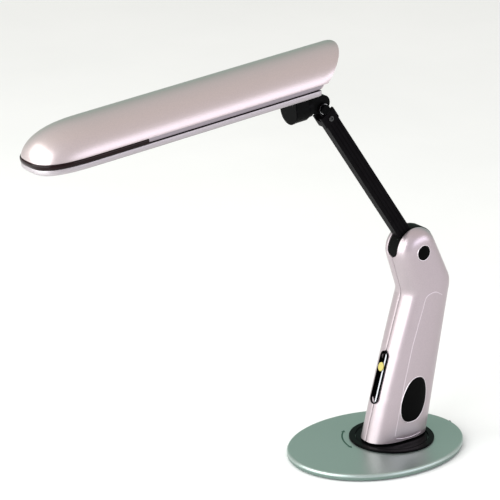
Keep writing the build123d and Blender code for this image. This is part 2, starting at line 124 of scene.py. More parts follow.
def head_matrix():
    """Millimetres in the head's own frame to metres in the lamp's frame."""
    across = Vector((0, 1, 0))
    up = HEAD_AXIS.cross(across)
    tip = ROLL_POINT - HEAD_AXIS * ROLL_S - up * ROLL_H
    turn = Matrix((HEAD_AXIS, across, up)).transposed().to_4x4()
    return Matrix.Scale(MM, 4) @ Matrix.Translation(tip) @ turn


HEAD = head_matrix()
LAMP = Matrix.Scale(MM, 4)


def make_piece(name, points, faces, place, body, material, stands_for=(), sharp=35.0):
    """A mesh piece from points in millimetres, placed by a matrix, riding on a body."""
    mesh = bpy.data.meshes.new(name)
    mesh.from_pydata([place @ Vector(p) for p in points], [], faces)
    mesh.validate()
    if is_closed(mesh):
        face_outwards(mesh)
    smooth_by_angle(mesh, sharp)
    mesh.materials.append(material)
    piece = bpy.data.objects.new(name, mesh)
    bpy.context.scene.collection.objects.link(piece)
    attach(piece, body)
    if stands_for:
        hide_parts(*stands_for)
    return piece


def is_closed(mesh):
    """Whether every edge of the mesh has two faces."""
    uses = {}
    for polygon in mesh.polygons:
        for key in polygon.edge_keys:
            uses[key] = uses.get(key, 0) + 1
    return all(count == 2 for count in uses.values())


def face_outwards(mesh):
    """Point every face of a closed skin outwards."""
    work = bmesh.new()
    work.from_mesh(mesh)
    bmesh.ops.recalc_face_normals(work, faces=work.faces)
    work.to_mesh(mesh)
    work.free()


def smooth_by_angle(mesh, degrees):
    mesh.polygons.foreach_set("use_smooth", [True] * len(mesh.polygons))
    mesh.set_sharp_from_angle(angle=math.radians(degrees))


def strip_faces(rows, columns, wrap_rows=False, wrap_columns=False):
    """Quads over a grid of points stored row by row."""
    faces = []
    for i in range(rows if wrap_rows else rows - 1):
        for j in range(columns if wrap_columns else columns - 1):
            a, b = i * columns, ((i + 1) % rows) * columns
            k = (j + 1) % columns
            faces.append((a + j, a + k, b + k, b + j))
    return faces


def loft(loops, close=False, caps=True):
    """Points and faces of a skin over closed loops of equal length."""
    count = len(loops[0])
    points = [p for loop in loops for p in loop]
    faces = strip_faces(len(loops), count, wrap_rows=close, wrap_columns=True)
    if caps and not close:
        faces.append(tuple(reversed(range(count))))
        faces.append(tuple(range(len(points) - count, len(points))))
    return points, faces


def add_modifier(piece, kind, **values):
    modifier = piece.modifiers.new(kind.lower(), kind)
    for key, value in values.items():
        setattr(modifier, key, value)


def apply_modifiers(piece, sharp=35.0):
    """Turn the piece's modifiers into real mesh."""
    graph = bpy.context.evaluated_depsgraph_get()
    mesh = bpy.data.meshes.new_from_object(piece.evaluated_get(graph))
    piece.modifiers.clear()
    piece.data = mesh
    smooth_by_angle(mesh, sharp)
    return piece


def arc(centre, radius, start, end, count):
    """Points on an arc in a plane, angles in degrees, both ends included."""
    return [(centre[0] + radius * math.cos(math.radians(start + (end - start) * k / (count - 1))),
             centre[1] + radius * math.sin(math.radians(start + (end - start) * k / (count - 1))))
            for k in range(count)]


def lerp(a, b, t):
    return tuple(x + (y - x) * t for x, y in zip(a, b))


def signed_power(value, power):
    """A power that keeps its sign, for the sides of rounded outlines."""
    return math.copysign(abs(value) ** power, value)


# ---------------------------------------------------------------- materials

def new_material(name, colour, roughness, metallic=0.0, **sockets):
    """A Principled material with the values that stay the same all over set on its own sockets."""
    material = bpy.data.materials.new(name)
    material.use_nodes = True
    shader = material.node_tree.nodes["Principled BSDF"]
    shader.inputs["Base Color"].default_value = (*colour, 1)
    shader.inputs["Roughness"].default_value = roughness
    shader.inputs["Metallic"].default_value = metallic
    for key, value in sockets.items():
        shader.inputs[key.replace("_", " ")].default_value = value
    return material


def add_node(material, kind, **inputs):
    node = material.node_tree.nodes.new(kind)
    for key, value in inputs.items():
        node.inputs[key.replace("_", " ")].default_value = value
    return node


def link(material, start, out, end, into):
    material.node_tree.links.new(start.outputs[out], end.inputs[into])


def mottle(material, scale, light, dark, rough_low, rough_high, detail=4.0):
    """Colour and roughness drift a little over the surface, as on any moulded or painted part."""
    shader = material.node_tree.nodes["Principled BSDF"]
    place = add_node(material, "ShaderNodeTexCoord")
    noise = add_node(material, "ShaderNodeTexNoise", Scale=scale, Detail=detail, Roughness=0.55)
    ramp = add_node(material, "ShaderNodeValToRGB")
    ramp.color_ramp.elements[0].position, ramp.color_ramp.elements[1].position = 0.3, 0.7
    ramp.color_ramp.elements[0].color = (*dark, 1)
    ramp.color_ramp.elements[1].color = (*light, 1)
    spread = add_node(material, "ShaderNodeMapRange")
    spread.inputs["From Min"].default_value, spread.inputs["From Max"].default_value = 0.3, 0.7
    spread.inputs["To Min"].default_value, spread.inputs["To Max"].default_value = rough_low, rough_high
    link(material, place, "Object", noise, "Vector")
    link(material, noise, "Fac", ramp, "Fac")
    link(material, ramp, "Color", shader, "Base Color")
    link(material, noise, "Fac", spread, "Value")
    link(material, spread, "Result", shader, "Roughness")


def grain(material, scale, strength, distance):
    """Fine relief from a noise texture, in the surface's own space."""
    shader = material.node_tree.nodes["Principled BSDF"]
    place = add_node(material, "ShaderNodeTexCoord")
    texture = add_node(material, "ShaderNodeTexNoise", Scale=scale)
    bump = add_node(material, "ShaderNodeBump", Strength=strength, Distance=distance)
    link(material, place, "Object", texture, "Vector")
    link(material, texture, "Fac", bump, "Height")
    link(material, bump, "Normal", shader, "Normal")


def satin_paint(name, light, dark, metallic, rough):
    paint = new_material(name, light, rough, metallic, Coat_Weight=0.12, Coat_Roughness=0.2)
    mottle(paint, 900.0, light, dark, rough - 0.03, rough + 0.04, detail=2.0)
    grain(paint, 2600.0, 0.05, 0.0001)
    return paint


def moulded(name, light, dark, rough, scale=700.0, strength=0.12, **sockets):
    plastic = new_material(name, light, rough, **sockets)
    mottle(plastic, 60.0, light, dark, rough - 0.06, rough + 0.06)
    grain(plastic, scale, strength, 0.0002)
    return plastic


def turned_metal(name, light, dark, rough):
    metal = new_material(name, light, rough, 1.0)
    mottle(metal, 240.0, light, dark, rough - 0.08, rough + 0.1)
    grain(metal, 600.0, 0.08, 0.0001)
    return metal


SILVER = satin_paint("silver_paint_satin", (0.50, 0.425, 0.425), (0.455, 0.39, 0.395), 0.8, 0.33)
# A darker copy of the silver paint for the stand: painted shade.
STAND_SHADED_PAINT = satin_paint("stand_paint_painted_shade", (0.45, 0.38, 0.405), (0.41, 0.35, 0.375), 0.8, 0.33)
# A darker copy of the silver paint for the skirt under the dome's edge: painted shade.
SKIRT_SHADED_PAINT = satin_paint("skirt_paint_painted_shade", (0.31, 0.27, 0.305), (0.28, 0.245, 0.275), 0.8, 0.36)
# A darker copy of the silver paint for the tray: painted shade.
TRAY_SHADED_PAINT = satin_paint("tray_paint_painted_shade", (0.41, 0.37, 0.39), (0.375, 0.34, 0.36), 0.8, 0.36)
# A darker green copy of the base paint for its upright rim: painted shade.
BASE_WALL_SHADE_PAINT = satin_paint("base_wall_painted_shade", (0.19, 0.255, 0.23), (0.165, 0.23, 0.205), 0.85, 0.36)
# Silver paint tinted green: a painted reflection of the green room behind.
BASE_GREEN_REFLECTION_PAINT = satin_paint("base_paint_painted_green_reflection", (0.36, 0.43, 0.405), (0.325, 0.39, 0.365), 0.85, 0.34)
BLACK_GLOSS = moulded("black_gloss_moulding", (0.0015, 0.0015, 0.0018), (0.001, 0.001, 0.0012), 0.2,
                      scale=150.0, strength=0.03, Specular_IOR_Level=0.025)
BLACK_SATIN = moulded("black_satin_moulding", (0.0025, 0.0028, 0.0027), (0.0015, 0.0015, 0.0015), 0.42,
                      scale=1800.0, strength=0.25, Specular_IOR_Level=0.03)
BLACK_RUBBER = moulded("black_rubber_pad", (0.002, 0.002, 0.002), (0.001, 0.001, 0.001), 0.5,
                       scale=2600.0, strength=0.3, Specular_IOR_Level=0.03)
ARM_BLACK = moulded("arm_black_extrusion", (0.004, 0.0035, 0.004), (0.0025, 0.002, 0.0025), 0.4,
                    scale=2200.0, strength=0.25, Specular_IOR_Level=0.02)
SMOKED = moulded("smoked_band", (0.008, 0.001, 0.0015), (0.005, 0.0005, 0.001), 0.14,
                 scale=120.0, strength=0.02, Specular_IOR_Level=0.15)
KNOB_YELLOW = moulded("knob_yellow", (0.47, 0.39, 0.1), (0.4, 0.33, 0.075), 0.3,
                      scale=300.0, strength=0.04, Coat_Weight=0.3, Coat_Roughness=0.12)
STRIP_PALE = moulded("pale_strip", (0.56, 0.56, 0.6), (0.5, 0.5, 0.54), 0.22, scale=300.0, strength=0.04)
# Pale metal for the thin rims round the pads and caps: a painted highlight.
RIM_PAINTED_HIGHLIGHT = turned_metal("rim_painted_highlight", (0.78, 0.72, 0.75), (0.72, 0.66, 0.69), 0.32)
# Pale metal for the panel line and its sill: a painted highlight.
LINE_PAINTED_HIGHLIGHT = turned_metal("panel_line_painted_highlight", (0.64, 0.57, 0.61), (0.6, 0.53, 0.57), 0.34)
# Dark for the line at the panel's foot: painted shade.
LINE_PAINTED_SHADE = moulded("panel_line_painted_shade", (0.14, 0.105, 0.125), (0.11, 0.085, 0.1), 0.5)
DARK_SCREW = turned_metal("blackened_screw", (0.07, 0.07, 0.07), (0.04, 0.04, 0.04), 0.3)
PRINT_GREEN = moulded("print_dark_green", (0.005, 0.045, 0.026), (0.004, 0.037, 0.021), 0.5)
STEEL = turned_metal("turned_steel", (0.6, 0.6, 0.61), (0.5, 0.5, 0.51), 0.3)
ZINC = turned_metal("zinc_plate", (0.62, 0.63, 0.62), (0.5, 0.52, 0.5), 0.35)
RAW_ALUMINIUM = turned_metal("raw_aluminium", (0.78, 0.78, 0.8), (0.7, 0.7, 0.72), 0.3)
MIRROR_SHEET = turned_metal("reflector_sheet", (0.9, 0.9, 0.9), (0.86, 0.86, 0.86), 0.14)
CAST = moulded("cast_weight", (0.1, 0.1, 0.1), (0.06, 0.06, 0.06), 0.6, scale=400.0, strength=0.6)
NYLON = moulded("nylon_natural", (0.75, 0.72, 0.62), (0.68, 0.65, 0.56), 0.4)
WHITE_PLASTIC = moulded("lamp_base_white", (0.8, 0.79, 0.75), (0.74, 0.73, 0.69), 0.35)
BOARD = moulded("circuit_board", (0.3, 0.19, 0.05), (0.24, 0.15, 0.04), 0.5)
CORE = moulded("wound_core", (0.3, 0.24, 0.08), (0.22, 0.17, 0.06), 0.45)
SLEEVE = moulded("capacitor_sleeve", (0.03, 0.04, 0.1), (0.02, 0.03, 0.08), 0.3)


def clear_cover_material():
    clear = new_material("ribbed_clear_cover", (0.95, 0.97, 0.98), 0.12, Transmission_Weight=0.9, IOR=1.46)
    grain(clear, 500.0, 0.08, 0.0002)
    return clear


def lamp_glass_material():
    glass = new_material("phosphor_glass", (0.93, 0.94, 0.95), 0.2, Coat_Weight=0.6, Coat_Roughness=0.05)
    mottle(glass, 40.0, (0.94, 0.95, 0.96), (0.88, 0.9, 0.92), 0.18, 0.26)
    return glass


CLEAR_COVER = clear_cover_material()
LAMP_GLASS = lamp_glass_material()


# ---------------------------------------------------------------- head

def nose_stations(count):
    """Angles that space the stations evenly round the blunt nose, from the tip to the straight side."""
    return [math.radians(90.0 * k / count) for k in range(count + 1)]


def plan_point(angle, inset):
    """A point of the nose's outline seen from above: place along the head and half-width."""
    s = NOSE_LENGTH - (NOSE_LENGTH - inset) * max(0.0, math.cos(angle)) ** (2 / NOSE_PLAN_POWER)
    y = (HEAD_HALF - inset) * math.sin(angle) ** (2 / NOSE_PLAN_POWER)
    return s, y


def plan_loop(inset, end, nose=24, side=30, corner=3.0):
    """The head's outline seen from above, as a closed loop starting at the nose tip."""
    half = HEAD_HALF - inset
    right = [plan_point(a, inset) for a in nose_stations(nose)]
    reach = end - inset - corner
    right += [(NOSE_LENGTH + (reach - NOSE_LENGTH) * k / side, half) for k in range(1, side + 1)]
    right += arc((reach, half - corner), corner, 90, 0, 6)[1:]
    right.append((end - inset, 0.0))
    left = [(s, -y) for s, y in reversed(right[1:-1])]
    return right + left


def side_height(s, inset=0.0):
    """Height of the dome's crest at a place along the head."""
    height = HEAD_HEIGHT - inset
    if s >= NOSE_LENGTH:
        return height
    share = (NOSE_LENGTH - s) / (NOSE_LENGTH - inset)
    return height * max(0.0, 1 - share ** NOSE_SIDE_POWER) ** (1 / NOSE_SIDE_POWER)


def slant_back(s, h, start=290.0):
    """Stretch the last stretch of the dome so that it ends on the slanted back."""
    if s <= start:
        return s
    end = REAR_FOOT + h / REAR_SLOPE
    return start + (s - start) * (end - start) / (SKIRT_END - start)


def dome_rows(around=56, nose=40, body=34):
    first = next(a for a in nose_stations(4000) if side_height(plan_point(a, 0)[0]) > SKIRT_HEIGHT)
    spots = []
    for k in range(nose + 1):
        angle = first + (math.pi / 2 - first) * (k / nose) ** 1.25
        spots.append(plan_point(angle, 0))
    spots += [(NOSE_LENGTH + (SKIRT_END - NOSE_LENGTH) * k / body, HEAD_HALF) for k in range(1, body + 1)]
    rows = []
    for s, half in spots:
        height = max(side_height(s), SKIRT_HEIGHT + 0.001)
        low = math.asin(min(1.0, SKIRT_HEIGHT / height))
        angles = [low + (math.pi - 2 * low) * k / around for k in range(around + 1)]
        row = [(half * math.cos(a), height * math.sin(a)) for a in angles]
        rows.append([(slant_back(s, h), y, h) for y, h in row])
    return rows


def upper_shell():
    rows = dome_rows()
    points = [p for row in rows for p in row]
    faces = strip_faces(len(rows), len(rows[0]))
    shell = make_piece("upper_shell_skin", points, faces, HEAD, "head", SILVER,
                       ["upper_shell"])
    add_modifier(shell, "SOLIDIFY", thickness=SHELL_WALL * MM, offset=-1.0, use_even_offset=True)
    add_modifier(shell, "BEVEL", width=0.5 * MM, segments=3, limit_method="ANGLE",
                 angle_limit=math.radians(50))
    return apply_modifiers(shell)


def back_wall():
    """The wall that closes the dome's slanted back, set in a little from its edge."""
    def section(shift, inset):
        points = []
        for k in range(33):
            a = math.pi * k / 32
            y = (HEAD_HALF - inset) * math.cos(a)
            h = max(SKIRT_HEIGHT * 0.2, (HEAD_HEIGHT - inset) * math.sin(a))
            points.append((REAR_FOOT + h / REAR_SLOPE - shift, y, h))
        return points

    points, faces = loft([section(4.2, 1.8), section(2.6, 1.8), section(2.2, 2.4)])
    return make_piece("back_wall", points, faces, HEAD, "head", SILVER)


def slanted_loop(inset, h):
    """The head's outline with its rear end on the line of the slanted back."""
    return [(s, y, h) for s, y in plan_loop(inset, SKIRT_END + max(0.0, h) / REAR_SLOPE)]


def skirt():
    """The set-in strip between the dome and the parting line, leaning in towards its foot."""
    profile = [(0.55, 6.0), (0.75, 5.5), (0.95, 4.8), (1.3, 3.2), (1.65, 1.4), (1.8, 0.95), (2.3, 0.85),
               (3.8, 0.85), (3.8, 6.0)]
    points, faces = loft([slanted_loop(inset, h) for inset, h in profile], close=True)
    # The skirt's darker paint is painted shade.
    return make_piece("upper_shell_skirt", points, faces, HEAD, "head", SKIRT_SHADED_PAINT)


def parting_groove_shade():
    """A black strip set in the parting groove as painted shade, showing as a line between the skirt and the
    tray.
    """
    profile = [(2.0, 0.95), (1.7, 0.75), (1.55, 0.4), (1.6, 0.0), (1.9, -0.35), (3.6, -0.35), (3.6, 0.95)]
    points, faces = loft([slanted_loop(inset, h) for inset, h in profile], close=True)
    return make_piece("parting_groove_shade", points, faces, HEAD, "head", BLACK_RUBBER)


def lower_tray():
    """The lower half of the head: a rounded rim, and a flat underside with the light's opening."""
    count = len(plan_loop(0, SKIRT_END))

    def window(grow, h):
        return [(s, y, h) for s, y in rounded_window(grow, WINDOW_CORNER, count)]

    outside = [(2.0, -0.35), (0.45, -0.12), (0.1, -0.3), (0.0, -0.7), (0.0, -3.9)]
    outside += [(2.9 - 2.9 * math.cos(math.radians(a)), -3.9 - 2.9 * math.sin(math.radians(a)))
                for a in (12, 25, 38, 52, 65, 78, 90)]
    loops = [[(s, y, h) for s, y in plan_loop(inset, SKIRT_END)] for inset, h in outside]
    loops += [window(1.0, -TRAY_DEPTH), window(0.3, -TRAY_DEPTH + 0.25), window(0, -TRAY_DEPTH + 0.8)]
    loops += [window(0, -TRAY_DEPTH + 2.0)]
    loops += [[(s, y, -TRAY_DEPTH + 2.0) for s, y in plan_loop(2.2, SKIRT_END)]]
    points, faces = loft(loops, close=True)
    # The tray's paint is darker than the dome's: painted shade.
    return make_piece("lower_tray_skin", points, faces, HEAD, "head", TRAY_SHADED_PAINT,
                      ["lower_tray"])


def rounded_window(grow, corner, count):
    """The light opening's outline with `count` points, starting at its front middle."""
    x0, x1, half = WINDOW_START - grow, WINDOW_END + grow, WINDOW_HALF + grow
    outline = [(x0, 0.0), (x0, half - corner)]
    outline += arc((x0 + corner, half - corner), corner, 180, 90, 7)[1:]
    outline += arc((x1 - corner, half - corner), corner, 90, 0, 7)
    outline += [(x1, 0.0)]
    outline += [(x, -y) for x, y in reversed(outline[1:-1])]
    return resample(outline, count)


def resample(outline, count):
    """Evenly spaced points round a closed outline."""
    closed = outline + outline[:1]
    lengths = [math.dist(a, b) for a, b in zip(closed, closed[1:])]
    total = sum(lengths)
    points, walked, k = [], 0.0, 0
    for n in range(count):
        target = total * n / count
        while walked + lengths[k] < target:
            walked += lengths[k]
            k += 1
        points.append(lerp(closed[k], closed[k + 1], (target - walked) / lengths[k]))
    return points


def nose_band():
    """The smoked strip round the nose, square-ended on both sides."""
    profile = [(0.5, 0.1), (-0.15, 0.4), (-0.5, 1.1), (-0.65, 2.2), (-0.65, 3.6), (-0.5, 4.6), (-0.15, 5.2),
               (0.5, 5.55), (2.2, 5.55), (2.2, 0.1)]
    loops = [[(*plan_point(a, inset), h) for inset, h in profile] for a in nose_stations(40)]
    for k in range(1, 11):
        s = NOSE_LENGTH + (BAND_END - NOSE_LENGTH) * k / 10
        loops.append([(s, HEAD_HALF - inset, h) for inset, h in profile])
    mirrored = [[(s, -y, h) for s, y, h in loop] for loop in loops[1:]]
    points, faces = loft(list(reversed(mirrored)) + loops)
    return make_piece("nose_band_skin", points, faces, HEAD, "head", SMOKED,
                      ["nose_band"])


# ---------------------------------------------------------------- stand

def tangent_angle(point, side):
    """The angle round the crown circle, in degrees, where a line from a point touches it."""
    dx, dz = point[0] - CROWN[0], point[1] - CROWN[1]
    turn = math.atan2(dz, dx) + side * math.acos(CROWN_R / math.hypot(dx, dz))
    return math.degrees(turn)


def circle_point(degrees):
    a = math.radians(degrees)
    return CROWN[0] + CROWN_R * math.cos(a), CROWN[1] + CROWN_R * math.sin(a)


def bend(before, corner, after, radius, count=9):
    """A rounded corner between two straight runs, as points."""
    a, b = Vector(before) - Vector(corner), Vector(after) - Vector(corner)
    a.normalize()
    b.normalize()
    half = a.angle(b) / 2
    cut = radius / math.tan(half)
    start, end = Vector(corner) + a * cut, Vector(corner) + b * cut
    middle = Vector(corner)
    return [tuple(start * (1 - t) ** 2 + middle * 2 * t * (1 - t) + end * t * t)
            for t in (k / (count - 1) for k in range(count))]


def leg_sides():
    """Matching points up the front and the back of the leg, then round the crown."""
    front_angle = tangent_angle(ELBOW_FRONT, -1) % 360
    back_angle = tangent_angle(ELBOW_BACK, 1) % 360
    front_top, back_top = circle_point(front_angle), circle_point(back_angle)
    front_low = front_curve(LEG_STEPS)
    back_low = [lerp(FOOT_BACK, ELBOW_BACK, k / (LEG_STEPS + 1)) for k in range(LEG_STEPS)]
    front = front_low + bend(front_low[-2], ELBOW_FRONT, front_top, ELBOW_FRONT_R)
    back = back_low + bend(FOOT_BACK, ELBOW_BACK, back_top, ELBOW_BACK_R)
    front += [lerp(front[-1], front_top, k / TOP_STEPS) for k in range(1, TOP_STEPS + 1)]
    back += [lerp(back[-1], back_top, k / TOP_STEPS) for k in range(1, TOP_STEPS + 1)]
    crown = [circle_point(front_angle + (back_angle - front_angle) * k / CROWN_STEPS)
             for k in range(1, CROWN_STEPS)]
    return front, back, crown


def front_curve(count):
    """The slightly bowed lower front, from the foot to just under the elbow."""
    points, bow = [], 1.35
    for k in range(count):
        t = k / (count + 1)
        x, z = lerp(FOOT_FRONT, ELBOW_FRONT, t)
        points.append((x - 4 * t * (1 - t) * bow, z))
    return points


def half_width(z):
    share = (z - FOOT_Z) / (CROWN_Z - FOOT_Z)
    return FOOT_HALF + share * (CROWN_HALF - FOOT_HALF)


def section_power(z):
    """How square the stand is seen from above: nearly an ellipse at the foot, squarer at the crown."""
    share = (z - FOOT_Z) / (CROWN_Z - FOOT_Z)
    return FOOT_POWER + share * (CROWN_POWER - FOOT_POWER)


def rib(edge, spine, opening, steps=24):
    """Points from inside the opening, over the rounded corner, to the spine on one side of the stand."""
    edge, spine = Vector(edge), Vector(spine)
    reach = (spine - edge).length
    inward = (spine - edge).normalized()
    half, power = half_width(edge.y), section_power(edge.y)
    lip = SEAM_LIP if opening < 1.0 else SLOT_LIP
    stations = [(7.0, opening), (1.6 * lip, opening), (0.7 * lip, opening + 0.03 * lip)]
    stations += [(lip * (1 - math.sin(math.radians(a))), opening + lip * (1 - math.cos(math.radians(a))))
                 for a in (30, 60)]
    first = math.asin(((opening + lip) / half) ** (power / 2))
    for k in range(steps + 1):
        angle = first + (math.pi / 2 - first) * k / steps
        fall = max(0.0, math.cos(angle)) ** (2 / power)
        stations.append((reach * (1 - fall), half * math.sin(angle) ** (2 / power)))
    slope = stations[5][0]
    stations = [(d + slope, y) for d, y in stations[:5]] + stations[5:]
    return [(edge.x + inward.x * d, y, edge.y + inward.y * d) for d, y in stations]


def smooth_step(t):
    return t * t * (3 - 2 * t)


def spine_point(front, back, rise):
    """The line inside the leg that the ribs run to; it bends to the crown's centre at the top."""
    return lerp(lerp(front, back, 0.5), CROWN, smooth_step(rise))


def stand_ribs():
    front, back, crown = leg_sides()
    count = len(front)
    knee = count - TOP_STEPS - 1
    spines = [spine_point(front[k], back[k], max(0.0, (k - knee) / TOP_STEPS)) for k in range(count)]
    rows = [rib(front[k], spines[k], opening_at(*front[k], True)) for k in range(count)]
    rows += [rib(point, CROWN, opening_at(*point, point[0] < CROWN[0])) for point in crown]
    rows += [rib(back[k], spines[k], opening_at(*back[k], False)) for k in reversed(range(count))]
    return rows


def housing_half(name, sign, node):
    rows = stand_ribs()
    points = [(x, sign * y, z) for row in rows for x, y, z in row]
    faces = strip_faces(len(rows), len(rows[0]))
    if sign > 0:
        faces = [tuple(reversed(f)) for f in faces]
    # The stand's paint is a darker copy of the head's: painted shade.
    shell = make_piece(name, points, faces, LAMP, "stand", STAND_SHADED_PAINT, [node])
    add_modifier(shell, "WELD", merge_threshold=0.02 * MM)
    add_modifier(shell, "SOLIDIFY", thickness=1.6 * MM, offset=-1.0)
    return apply_modifiers(shell, 40.0)


def opening_at(x, z, is_front):
    """Half the width of whatever is cut through the seam at this place: the hub slot or the dimmer."""
    hub = hub_opening(x, z)
    if hub > SEAM:
        return hub
    if is_front:
        along = abs((Vector((x, 0, z)) - Vector((FRONT_MID[0], 0, FRONT_MID[1]))).dot(SLIDE_AXIS))
        half_length, half = SLOT_LENGTH / 2 - BEZEL_LAP, SLOT_WIDTH / 2 - BEZEL_LAP
        end = half_length - half
        if along < end:
            return half
        if along < half_length:
            return max(SEAM, math.sqrt(half * half - (along - end) ** 2))
    return SEAM


def hub_opening(x, z):
    """Half the width of the slot for the arm's hub, with rounded lower corners."""
    rise = z - (HUB_SLOT_FRONT_Z if x < PIVOT.x else HUB_SLOT_BACK_Z)
    if rise <= 0:
        return SEAM
    if rise < HUB_SLOT_CORNER:
        corner = HUB_SLOT_CORNER - math.sqrt(HUB_SLOT_CORNER ** 2 - (HUB_SLOT_CORNER - rise) ** 2)
        return CHEEK_HALF - corner
    return CHEEK_HALF


class StandSkin:
    """Finds the stand's outer surface, so that what is set into it follows its curve."""

    WELL_OUTSIDE = 60.0

    def __init__(self):
        rows = stand_ribs()
        points = [Vector(p) for row in rows for p in row]
        self.tree = BVHTree.FromPolygons(points, strip_faces(len(rows), len(rows[0])))

    def side(self, x, z, lift=0.0):
        """The point beside (x, z) on the +Y side, lifted off the surface."""
        spot, normal, _, _ = self.tree.ray_cast(Vector((x, self.WELL_OUTSIDE, z)), Vector((0, -1, 0)))
        if normal.y < 0:
            normal = -normal
        return spot + normal * lift


def egg_loop(scale, count=96):
    """The side pad's egg outline in the XZ plane, leaning back and narrower at the top."""
    loop = []
    for k in range(count):
        a = 2 * math.pi * k / count
        rise = PAD_HALF_HEIGHT * math.sin(a)
        out = PAD_HALF_WIDTH * signed_power(math.cos(a), PAD_POWER) * (1 - PAD_TAPER * math.sin(a))
        loop.append((PAD_CENTRE[0] + (PAD_LEAN * rise + out) * scale, PAD_CENTRE[1] + rise * scale))
    return loop


def round_loop(radius, count=64):
    return [(PIVOT.x + radius * math.cos(2 * math.pi * k / count),
             PIVOT.z + radius * math.sin(2 * math.pi * k / count)) for k in range(count)]


def set_in_button(name, skin, sign, make_loop, profile, material, node):
    """A pad or cap set into the side of the stand: loops at (size, lift) from its foot to its middle."""
    loops = []
    for size, lift in profile:
        loop = [skin.side(x, z, lift) for x, z in make_loop(size)]
        loops.append([(p.x, sign * p.y, p.z) for p in loop])
    points, faces = loft(loops)
    return make_piece(name, points, faces, LAMP, "stand", material, [node])


def bead_along(name, skin, sign, path, width, height, closed, material):
    """A fine raised line that follows a path drawn on the side of the stand."""
    count = len(path)
    loops = []
    for k in range(count):
        before = path[(k - 1) % count] if closed or k else path[0]
        after = path[(k + 1) % count] if closed or k < count - 1 else path[-1]
        run = Vector((after[0] - before[0], after[1] - before[1])).normalized()
        across = Vector((-run.y, run.x))
        loop = []
        for step, lift in ((-0.5, -0.3), (-0.42, 0.45), (-0.2, 0.9), (0, 1.0), (0.2, 0.9), (0.42, 0.45),
                           (0.5, -0.3)):
            p = skin.side(path[k][0] + across.x * step * width, path[k][1] + across.y * step * width,
                          lift * height)
            loop.append((p.x, sign * p.y, p.z))
        loops.append(loop)
    points, faces = loft(loops, close=closed)
    return make_piece(name, points, faces, LAMP, "stand", material)


PANEL_LINE = [(51.6, 181.4), (42.0, 186.6), (33.7, 186.0), (28.0, 181.8), (23.9, 169.5), (18.7, 153.4),
              (10.0, 125.6), (3.4, 98.8), (-0.9, 80.8), (-13.1, 20.9)]
PANEL_FOOT = [(-11.5, 18.4), (-2.0, 16.9), (8.6, 16.5), (25.9, 17.7)]


def smooth_path(knots, step):
    """A Catmull-Rom curve through given points."""
    path = []
    for k in range(len(knots) - 1):
        p0, p1, p2 = knots[max(0, k - 1)], knots[k], knots[k + 1]
        p3 = knots[min(len(knots) - 1, k + 2)]
        count = max(2, int(math.dist(p1, p2) / step))
        for n in range(count):
            t = n / count
            path.append(tuple(0.5 * (2 * b + (c - a) * t + (2 * a - 5 * b + 4 * c - d) * t * t
                                     + (3 * b - a - 3 * c + d) * t ** 3)
                              for a, b, c, d in zip(p0, p1, p2, p3)))
    return path + [knots[-1]]


PAD_PROFILE = [(1.0, -1.0), (1.0, 0.25), (0.985, 0.7), (0.95, 1.0), (0.88, 1.2), (0.7, 1.45), (0.4, 1.6),
               (0.1, 1.65)]
CAP_PROFILE = [(8.5, -1.0), (8.5, 0.2), (8.3, 0.5), (7.9, 0.62), (6.8, 0.66), (4.0, 0.7), (1.0, 0.7)]


def stand_details():
    """The pads, caps, rims and panel lines on both sides of the stand."""
    skin = StandSkin()
    panel_line, panel_foot = smooth_path(PANEL_LINE, 1.5), smooth_path(PANEL_FOOT, 1.5)
    panel_sill = [(x, z - 1.1) for x, z in panel_foot]
    for sign, side in ((-1, "left"), (1, "right")):
        set_in_button("side_pad_%s_skin" % side, skin, sign, egg_loop, PAD_PROFILE,
                      BLACK_RUBBER, "side_pad_" + side)
        set_in_button("pivot_cap_%s_skin" % side, skin, sign, round_loop, CAP_PROFILE,
                      BLACK_GLOSS, "pivot_cap_" + side)
        # The pale rims round the pads and caps are painted highlights.
        bead_along("pad_rim_" + side, skin, sign, egg_loop(1.03), 1.1, 0.5, True, RIM_PAINTED_HIGHLIGHT)
        bead_along("cap_rim_" + side, skin, sign, round_loop(9.0), 1.0, 0.5, True, RIM_PAINTED_HIGHLIGHT)
        # The panel line and the sill below the foot line are pale as painted highlights.
        bead_along("panel_line_" + side, skin, sign, panel_line, 1.0, 0.35, False, LINE_PAINTED_HIGHLIGHT)
        # The dark line at the panel's foot is painted shade.
        bead_along("panel_foot_" + side, skin, sign, panel_foot, 0.9, 0.25, False, LINE_PAINTED_SHADE)
        bead_along("panel_sill_" + side, skin, sign, panel_sill, 0.9, 0.3, False, LINE_PAINTED_HIGHLIGHT)


# ---------------------------------------------------------------- base

def oval(inset, z, count=160):
    a, b = BASE_LENGTH / 2 - inset, BASE_WIDTH / 2 - inset
    return [(BASE_X + a * math.cos(2 * math.pi * k / count), b * math.sin(2 * math.pi * k / count), z)
            for k in range(count)]


def circle(radius, z, count=160):
    return [(radius * math.cos(2 * math.pi * k / count), radius * math.sin(2 * math.pi * k / count), z)
            for k in range(count)]


def base_cover():
    """The base's flat top with its rounded edge, in silver paint tinted green as a painted reflection."""
    edge = 2.6
    loops = [circle(10.0, BASE_TOP - 2), circle(10.0, BASE_TOP), circle(COLLAR_R - 1, BASE_TOP)]
    loops += [oval(40, BASE_TOP), oval(12, BASE_TOP), oval(edge + 0.4, BASE_TOP)]
    turns = [math.radians(a) for a in (0, 15, 30, 45, 58, 71)]
    loops += [oval(edge - edge * math.sin(a), BASE_TOP - edge + edge * math.cos(a)) for a in turns]
    loops += [oval(-0.32, 5.95), oval(-0.3, 5.6), oval(2.2, 5.6), oval(2.2, BASE_TOP - 2)]
    points, faces = loft(loops, close=True)
    return make_piece("base_cover_skin", points, faces, LAMP, "base", BASE_GREEN_REFLECTION_PAINT,
                      ["base_cover"], 50.0)


